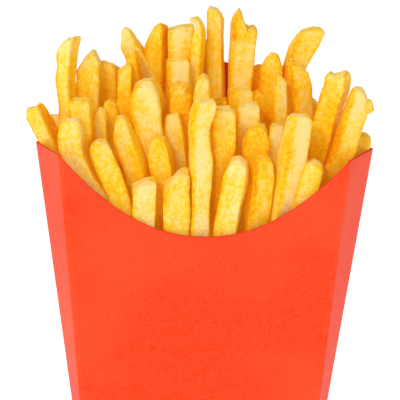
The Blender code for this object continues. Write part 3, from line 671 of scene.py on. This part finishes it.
def build_fry(bm, layers, fry, rng):
    """One whole fry as a closed skin with blisters, sunken faces and a cut or broken end."""
    points, widths = control_points(fry)
    length = sum((b - a).length for a, b in zip(points, points[1:]))
    outline = section(fry.turn, rng)
    traits = draw_traits(fry, rng)
    shift = traits.shift
    rings = []
    for distance, share, on_end in ring_plan(length, 0.5 * widths[0]):
        middle, width, up, across, inward = frame_at(points, widths, distance)
        swell = SWELL + SWELLING * noise.noise(Vector((distance * SWELLING_WAVES, 0.0, 0.0)) + shift)
        wide, deep = width * share * swell, thickness(width) * share * swell
        sway = SWAY * noise.noise(Vector((0.0, distance * SWAY_WAVES, 0.0)) + shift)
        turning = math.radians(traits.twist * distance / TWIST_LENGTH)
        fade = max(0.0, 1.0 - distance / END_REACH)
        # The tip's own tone, plus painted shade deeper in the heap
        amber = tone_and_shade_at(fry, distance)
        ring = []
        for u, v, corner, crisp, side in outline:
            u, v = turned(u, v, turning)
            outwards = Vector((u, v)).normalized()
            place = Vector((u * wide, v * deep, distance))
            crust = noise.noise(place * CRUST_WAVES + 2.0 * shift)
            out = bulge(fry, traits, place, crust, corner, on_end) * min(1.0, share * END_UNEVEN)
            drop = end_drop(fry.end, 2.0 * u * share) + traits.lean * (0.5 - v * share) * deep
            ragged = RAGGED * noise.noise(Vector((u * wide, v * deep, 0.0)) * RAGGED_WAVES + shift)
            dimple = -END_HOLLOW * (1.0 - share) * on_end + END_CRUST * crust * on_end
            spot = (middle + across * (u * wide + outwards.x * out + sway)
                    + inward * (v * deep + outwards.y * out)
                    + up * ((ragged - drop) * fade + dimple))
            vert = bm.verts.new(pressed(spot) * MM)
            vert[layers["grain"]] = (place + shift) * GRAIN_UNIT
            vert[layers["tone"]] = traits.tones[side] + amber
            vert[layers["crisp"]] = crispness(crisp, share, on_end)
            vert[layers["cut"]] = on_end
            vert[layers["grit"]] = grittiness(spot, middle.y)
            ring.append(vert)
        rings.append(ring)
    for high, low in zip(rings, rings[1:]):
        for i, corner in enumerate(high):
            j = (i + 1) % len(high)
            bm.faces.new((corner, low[i], low[j], high[j]))
    close_ring(bm, rings[0])
    bm.faces.new(list(reversed(rings[-1])))


def close_ring(bm, ring):
    """A ring drawn in to one point becomes a fan round it."""
    bmesh.ops.pointmerge(bm, verts=ring, merge_co=sum((v.co for v in ring), Vector()) / len(ring))


def fry_layers(bm):
    layers = {"grain": bm.verts.layers.float_vector.new("grain")}
    for name in FRY_MASKS:
        layers[name] = bm.verts.layers.float.new(name)
    return layers


def build_row(name, fries, finish, rng):
    bm = bmesh.new()
    layers = fry_layers(bm)
    for fry in fries:
        build_fry(bm, layers, fry, rng)
    return new_piece(name, bm, (finish,), smooth_angle=60)


def add_crumb(bm, layers, place, size, tone, rng):
    """One crumb: a small ball with every corner pushed in or out."""
    shift = random_shift(rng, CRUMB_NOISE_SPAN)
    ball = bmesh.ops.create_icosphere(bm, subdivisions=2, radius=0.5)["verts"]
    stretch = Vector([rng.uniform(*CRUMB_STRETCH) for _ in range(3)])
    for vert in ball:
        reach = 1.0 + CRUMB_LUMP * noise.noise(vert.co * CRUMB_WAVES + shift)
        vert.co = (place + stretched(vert.co, stretch) * reach * size) * MM
        vert[layers["grain"]] = vert.co / MM * GRAIN_UNIT + shift
        vert[layers["tone"]] = tone
        vert[layers["crisp"]] = CRUMB_CRISP
        vert[layers["cut"]] = CRUMB_CUT


def wanted_crumbs(rng):
    """Where crumbs are to lie, as seen on the middle plane: (x, z, size, tone) of each."""
    wanted = []
    for crumble in CRUMBLES:
        start, end = Vector(crumble.start), Vector(crumble.end)
        for _ in range(crumble.count):
            along = start.lerp(end, rng.random())
            x = along.x + rng.gauss(0.0, 0.5 * crumble.spread)
            z = along.y + rng.gauss(0.0, 0.5 * crumble.spread)
            size = rng.uniform(*crumble.sizes)
            wanted.append((x, z, size, crumble.tone + rng.uniform(*CRUMB_TONE_SCATTER)))
    for _ in range(SCOOP_CRUMBS):
        x = rng.uniform(-SCOOP_CRUMB_REACH, SCOOP_CRUMB_REACH)
        z = scoop_height(x / RIM_FOLD) + rng.expovariate(1.0 / SCOOP_CRUMB_RISE)
        wanted.append((x, z, rng.uniform(*SCOOP_CRUMB_SIZES), rng.choice(SCOOP_CRUMB_TONES)))
    return wanted


def build_crumbs(pieces, finish, rng):
    """Crumbs on the broken ends and along the front edge, each resting on the fry seen at its place."""
    skin = bmesh.new()
    for piece in pieces:
        skin.from_mesh(piece.data)
    tree = BVHTree.FromBMesh(skin)
    skin.free()
    bm = bmesh.new()
    layers = fry_layers(bm)
    for x, z, size, tone in wanted_crumbs(rng):
        towards = (Vector((x, 0.0, z)) - EYE).normalized()
        hit = tree.ray_cast(EYE * MM, towards)[0]
        if hit is not None:
            add_crumb(bm, layers, pressed(hit / MM), size, tone, rng)
    return new_piece("fries_crumbs", bm, (finish,), smooth_angle=50)


def build_core(finish):
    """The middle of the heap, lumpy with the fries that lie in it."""
    bm = bmesh.new()
    rings = []
    for height, width_share, front_share, back_share in CORE_RINGS:
        fold, crease, depth = half_sizes(height, BOARD + CORE_CLEARANCE)
        front, back = depth * front_share, depth * back_share
        middle = 0.5 * (front + back)
        outline = ((-fold, front), (fold, front), (crease, middle),
                   (fold, back), (-fold, back), (-crease, middle))
        rings.append([bm.verts.new(Vector((x * width_share, y, height)) * MM) for x, y in outline])
    wall_up(bm, rings)
    bm.faces.new(rings[-1])
    bmesh.ops.triangulate(bm, faces=bm.faces)
    bmesh.ops.subdivide_edges(bm, edges=bm.edges, cuts=CORE_CUTS, use_grid_fill=True)
    layers = fry_layers(bm)
    bm.normal_update()
    lifts = []
    for vert in bm.verts:
        place = vert.co / MM
        bumps = noise.noise(stretched(place, CORE_WAVES))
        lifts.append((vert, -abs(bumps) * CORE_HOLLOWS * MM * vert.normal))
        vert[layers["grain"]] = place * GRAIN_UNIT
        vert[layers["tone"]] = CORE_SHADE_TONE
    for vert, lift in lifts:
        vert.co += lift
    return new_piece("fries_core", bm, (finish,), smooth_angle=60)


# Pieces and materials

def new_piece(name, bm, finishes, smooth_angle):
    mesh = bpy.data.meshes.new(name)
    bm.to_mesh(mesh)
    bm.free()
    for finish in finishes:
        mesh.materials.append(finish)
    mesh.shade_smooth()
    mesh.set_sharp_from_angle(angle=math.radians(smooth_angle))
    return new_object(name, mesh)


def new_object(name, data):
    made = bpy.data.objects.new(name, data)
    bpy.context.scene.collection.objects.link(made)
    return made


def new_material(name):
    made = bpy.data.materials.new(name)
    made.use_nodes = True
    tree = made.node_tree
    return made, tree, tree.nodes["Principled BSDF"]


def add_node(tree, kind, **settings):
    node = tree.nodes.new(kind)
    for key, value in settings.items():
        setattr(node, key, value)
    return node


def set_inputs(node, values):
    for name, value in values.items():
        node.inputs[name].default_value = value


def noise_texture(tree, vector, waves, detail=2.0, roughness=0.5):
    node = add_node(tree, "ShaderNodeTexNoise")
    set_inputs(node, {"Scale": waves, "Detail": detail, "Roughness": roughness})
    tree.links.new(vector, node.inputs["Vector"])
    return node.outputs["Fac"]


def math_node(tree, operation, a, b, clamp=False):
    """A value worked out from a socket and either another one or a number."""
    node = add_node(tree, "ShaderNodeMath", operation=operation, use_clamp=clamp)
    tree.links.new(a, node.inputs[0])
    if isinstance(b, float):
        node.inputs[1].default_value = b
    else:
        tree.links.new(b, node.inputs[1])
    return node.outputs[0]


def map_range(tree, value, low, high, to_low=0.0, to_high=1.0):
    node = add_node(tree, "ShaderNodeMapRange", interpolation_type="SMOOTHSTEP")
    tree.links.new(value, node.inputs["Value"])
    set_inputs(node, {"From Min": low, "From Max": high, "To Min": to_low, "To Max": to_high})
    return node.outputs["Result"]


def colour_ramp(tree, value, stops):
    node = add_node(tree, "ShaderNodeValToRGB")
    ramp = node.color_ramp
    while len(ramp.elements) < len(stops):
        ramp.elements.new(0.5)
    for element, (position, colour) in zip(ramp.elements, stops):
        element.position = position
        element.color = (*colour, 1.0)
    tree.links.new(value, node.inputs["Fac"])
    return node.outputs["Color"]


def mix_colour(tree, share, colour, added):
    """A colour with another one over it, as far as a mask says."""
    node = add_node(tree, "ShaderNodeMix", data_type="RGBA")
    tree.links.new(share, node.inputs[0])
    tree.links.new(colour, node.inputs[6])
    node.inputs[7].default_value = (*added, 1.0)
    return node.outputs[2]


def attribute(tree, name, output="Fac"):
    node = add_node(tree, "ShaderNodeAttribute", attribute_name=name)
    return node.outputs[output]


FRY_TONES = (
    (0.00, (0.86, 0.665, 0.25)),
    (0.22, (0.86, 0.61, 0.11)),
    (0.42, (0.86, 0.535, 0.026)),
    (0.62, (0.86, 0.465, 0.004)),
    (0.82, (0.86, 0.37, 0.002)),
    (1.00, (0.80, 0.22, 0.002)),
)
SPECK_BROWN = (0.50, 0.17, 0.012)
GRIT_BROWN = (0.68, 0.34, 0.055)
BOARD_RED = (0.90, 0.042, 0.007)
BOARD_RED_WORN = (0.91, 0.11, 0.04)
EDGE_RED = (0.72, 0.018, 0.004)
GLOW = (1.0, 0.45, 0.01)    # painted light: the fries and the core glow in this colour, standing in for light that has passed through several fries

# How strongly the fries and the core glow: painted light, stronger on the core that shows in the gaps
FRY_GLOW = 0.11
CORE_GLOW = 0.18
TRANSLUCENCY = 0.08
BOARD_GLOSS = 0.05
INSIDE_GLOSS = 0.06

# The patterns on a fry: how many waves each one has in a centimetre
ALONG = (1.0, 1.0, 0.35)    # some are drawn out along the fry
BROAD_WAVES = 1.6
BLOTCH_WAVES = 5.5
STREAK_WAVES = 14.0
FINE_WAVES = 38.0
FLECK_WAVES = 21.0
GRIT_WAVES = 13.0

# How they change its tone, down and up
BROAD_TONE = (-0.18, 0.18)
BLOTCH_TONE = (-0.15, 0.16)
STREAK_TONE = (-0.13, 0.13)
FLECK_TONE = 0.20           # paler in flecks
CRISP_TONE = (0.13, 0.32)   # more amber at its corners
CUT_TONE = 0.12             # paler on its cut end
NOISE_REACH = (0.3, 0.7)    # most of a noise lies between these

# The patterns on the board: waves in a metre
TOOTH_WAVES = 1600.0
MOTTLE_WAVES = 320.0
CLOUD_WAVES = 22.0


def new_group(name, sockets):
    """A group of nodes for a surface's colour, roughness and relief: itself, its inputs and outputs."""
    group = bpy.data.node_groups.new(name, "ShaderNodeTree")
    for label, kind in sockets:
        group.interface.new_socket(label, in_out="INPUT", socket_type=f"NodeSocket{kind}")
    for label, kind in (("Color", "Color"), ("Roughness", "Float"), ("Height", "Float")):
        group.interface.new_socket(label, in_out="OUTPUT", socket_type=f"NodeSocket{kind}")
    return group, add_node(group, "NodeGroupInput").outputs, add_node(group, "NodeGroupOutput").inputs


def dress_shader(tree, shader, group, bump_strength, bump_height):
    """Put a group's colour, roughness and relief on a shader."""
    node = add_node(tree, "ShaderNodeGroup")
    node.node_tree = group
    tree.links.new(node.outputs["Color"], shader.inputs["Base Color"])
    tree.links.new(node.outputs["Roughness"], shader.inputs["Roughness"])
    bump = add_node(tree, "ShaderNodeBump")
    set_inputs(bump, {"Strength": bump_strength, "Distance": bump_height})
    tree.links.new(node.outputs["Height"], bump.inputs["Height"])
    tree.links.new(bump.outputs["Normal"], shader.inputs["Normal"])
    return node


def fried_surface_group():
    """What frying does to potato: browner crisp edges, mottled faces, specks, and a blistered skin."""
    sockets = [("grain", "Vector")] + [(name, "Float") for name in FRY_MASKS]
    group, inputs, outputs = new_group("fried_surface", sockets)
    grain = inputs["grain"]
    stretch = add_node(group, "ShaderNodeVectorMath", operation="MULTIPLY")
    stretch.inputs[1].default_value = ALONG
    group.links.new(grain, stretch.inputs[0])
    along = stretch.outputs[0]
    broad = noise_texture(group, along, BROAD_WAVES)
    blotch = noise_texture(group, grain, BLOTCH_WAVES, 3.0, 0.6)
    streak = noise_texture(group, along, STREAK_WAVES, 3.0, 0.6)
    fine = noise_texture(group, grain, FINE_WAVES, 3.0, 0.6)
    flecks = noise_texture(group, grain, FLECK_WAVES)
    grains = noise_texture(group, grain, GRIT_WAVES)
    tone = inputs["tone"]
    for pattern, change in ((broad, BROAD_TONE), (blotch, BLOTCH_TONE), (streak, STREAK_TONE)):
        tone = math_node(group, "ADD", tone, map_range(group, pattern, *NOISE_REACH, *change))
    crisping = map_range(group, blotch, *NOISE_REACH, *CRISP_TONE)
    tone = math_node(group, "ADD", tone, math_node(group, "MULTIPLY", inputs["crisp"], crisping))
    pale = math_node(group, "MULTIPLY", inputs["cut"], CUT_TONE)
    tone = math_node(group, "SUBTRACT", tone, pale)
    pale = map_range(group, flecks, 0.54, 0.68, 0.0, FLECK_TONE)
    tone = math_node(group, "SUBTRACT", tone, pale, clamp=True)
    colour = colour_ramp(group, tone, FRY_TONES)
    speck = map_range(group, fine, 0.66, 0.76)
    speck = math_node(group, "MULTIPLY", speck, map_range(group, broad, 0.5, 0.62, 0.0, 0.75))
    colour = mix_colour(group, speck, colour, SPECK_BROWN)
    grit = math_node(group, "MULTIPLY", inputs["grit"], map_range(group, grains, 0.50, 0.64, 0.0, 0.55))
    colour = mix_colour(group, grit, colour, GRIT_BROWN)
    group.links.new(colour, outputs["Color"])
    group.links.new(map_range(group, blotch, 0.25, 0.75, 0.34, 0.58), outputs["Roughness"])
    pores, ribs = math_node(group, "MULTIPLY", fine, 0.45), math_node(group, "MULTIPLY", streak, 0.5)
    group.links.new(math_node(group, "ADD", pores, ribs), outputs["Height"])
    return group


def fry_material(name, group, glow):
    made, tree, shader = new_material(name)
    node = dress_shader(tree, shader, group, bump_strength=0.45, bump_height=0.0003)
    tree.links.new(attribute(tree, "grain", "Vector"), node.inputs["grain"])
    for mask in FRY_MASKS:
        tree.links.new(attribute(tree, mask), node.inputs[mask])
    # The emission is painted light: a faint orange glow where no lamp lights the fries
    set_inputs(shader, {
        "Subsurface Weight": TRANSLUCENCY,
        "Subsurface Radius": (1.0, 0.55, 0.12),
        "Subsurface Scale": 0.0022,
        "Specular IOR Level": 0.07,
        "Emission Color": (*GLOW, 1.0),
        "Emission Strength": glow,
    })
    return made


def paper_group():
    """The board's surface: fine tooth, faint mottling, paler ink where it is folded, and darker towards the
    top edge, part ink wear and part painted shade.
    """
    sockets = (("place", "Vector"), ("fold_wear", "Float"), ("rim_darkening", "Float"), ("ink", "Color"))
    group, inputs, outputs = new_group("paper_board", sockets)
    place = inputs["place"]
    tooth = noise_texture(group, place, TOOTH_WAVES)
    mottle = noise_texture(group, place, MOTTLE_WAVES, 3.0, 0.6)
    cloud = noise_texture(group, place, CLOUD_WAVES)
    fold_wear = map_range(group, mottle, 0.35, 0.7, 0.05, 0.30)
    paler = (math_node(group, "MULTIPLY", inputs["fold_wear"], fold_wear),
             map_range(group, tooth, 0.38, 0.62, 0.0, 0.34),
             map_range(group, mottle, 0.35, 0.75, 0.0, 0.14),
             map_range(group, cloud, 0.35, 0.65, 0.0, 0.30))
    colour = inputs["ink"]
    for share in paler:
        colour = mix_colour(group, share, colour, BOARD_RED_WORN)
    # Darker towards the top edge: part ink wear, part painted shade
    colour = mix_colour(group, math_node(group, "MULTIPLY", inputs["rim_darkening"], 0.6), colour, EDGE_RED)
    group.links.new(colour, outputs["Color"])
    group.links.new(map_range(group, mottle, 0.3, 0.7, 0.40, 0.50), outputs["Roughness"])
    relief = math_node(group, "MULTIPLY", math_node(group, "ADD", tooth, mottle), 0.5)
    group.links.new(relief, outputs["Height"])
    return group


def board_material(name, group, ink, gloss):
    made, tree, shader = new_material(name)
    node = dress_shader(tree, shader, group, bump_strength=0.25, bump_height=0.00006)
    node.inputs["ink"].default_value = (*ink, 1.0)
    tree.links.new(add_node(tree, "ShaderNodeTexCoord").outputs["Object"], node.inputs["place"])
    for mask in ("fold_wear", "rim_darkening"):
        tree.links.new(attribute(tree, mask), node.inputs[mask])
    shader.inputs["Specular IOR Level"].default_value = gloss
    return made


# Studio

FLOOR_GLOW = 0.49
FLOOR_DROP = 0.0002         # metres, below the carton's base
WORLD_STRENGTH = 0.54

# Lamps: name, place and aim in metres, size in metres, power in watts
LAMPS = (
    ("key", (-0.75, -1.0, 1.15), (0.0, 0.0, 0.12), 0.55, 9.2),
    ("fill", (0.95, -0.9, 0.55), (0.0, 0.0, 0.10), 0.8, 2.1),
    ("left", (-1.2, -0.15, 0.35), (0.0, 0.0, 0.10), 0.6, 2.8),
)


def build_floor():
    made, tree, shader = new_material("studio_floor")
    set_inputs(shader, {
        "Base Color": (0.93, 0.93, 0.93, 1.0),
        "Roughness": 0.9,
        "Specular IOR Level": 0.1,
        "Emission Color": (1.0, 1.0, 1.0, 1.0),
        "Emission Strength": FLOOR_GLOW,
    })
    bm = bmesh.new()
    bmesh.ops.create_grid(bm, x_segments=8, y_segments=8, size=4.0)
    bmesh.ops.translate(bm, verts=bm.verts, vec=(0.0, 0.0, -FLOOR_DROP))
    floor = new_piece("studio_floor", bm, (made,), smooth_angle=30)


def area_light(name, place, aim, size, power):
    lamp = bpy.data.lights.new(name, "AREA")
    lamp.shape = "SQUARE"
    lamp.size = size
    lamp.energy = power
    made = new_object(name, lamp)
    made.location = place
    made.rotation_euler = (Vector(aim) - Vector(place)).to_track_quat("-Z", "Y").to_euler()


def build_light():
    world = bpy.data.worlds.new("studio")
    world.use_nodes = True
    background = world.node_tree.nodes["Background"]
    set_inputs(background, {"Color": (1.0, 1.0, 1.0, 1.0), "Strength": WORLD_STRENGTH})
    scene = bpy.context.scene
    scene.world = world
    scene.view_settings.view_transform = "Standard"
    scene.view_settings.look = "None"
    for lamp in LAMPS:
        area_light(*lamp)


def build_camera():
    lens = bpy.data.cameras.new("camera")
    lens.sensor_width = 36.0
    lens.lens = lens.sensor_width * CAMERA_DISTANCE / VIEW_WIDTH
    lens.clip_end = 50.0
    camera = new_object("camera", lens)
    back = Vector((0.0, -math.cos(CAMERA_ELEVATION), math.sin(CAMERA_ELEVATION)))
    level_up = Vector((0.0, math.sin(CAMERA_ELEVATION), math.cos(CAMERA_ELEVATION)))
    level_right = Vector((1.0, 0.0, 0.0))
    right = level_right * math.cos(CAMERA_ROLL) + level_up * math.sin(CAMERA_ROLL)
    upright = level_up * math.cos(CAMERA_ROLL) - level_right * math.sin(CAMERA_ROLL)
    turn = Matrix((right, upright, back)).transposed()
    camera.matrix_world = Matrix.Translation(CAMERA_AIM + back * CAMERA_DISTANCE) @ turn.to_4x4()
    bpy.context.scene.camera = camera


def main():
    build_camera()
    build_light()
    build_floor()
    paper = paper_group()
    skin = board_material("board_outside", paper, BOARD_RED, BOARD_GLOSS)
    edge = board_material("board_edge", paper, EDGE_RED, BOARD_GLOSS)
    inside = board_material("board_inside", paper, BOARD_RED, INSIDE_GLOSS)
    carton = build_carton(skin, edge, inside)
    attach(carton, "root")
    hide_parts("carton")
    fried = fried_surface_group()
    potato = fry_material("fried_potato", fried, FRY_GLOW)
    rng = random.Random(HEAP_SEED)
    pieces = [build_core(fry_material("heap_core", fried, CORE_GLOW))]
    for name, fries in ROWS.items():
        pieces.append(build_row(name, fries, potato, rng))
    pieces.append(build_crumbs(pieces, potato, rng))
    for piece in pieces:
        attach(piece, "root")
        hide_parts("fries")


main()
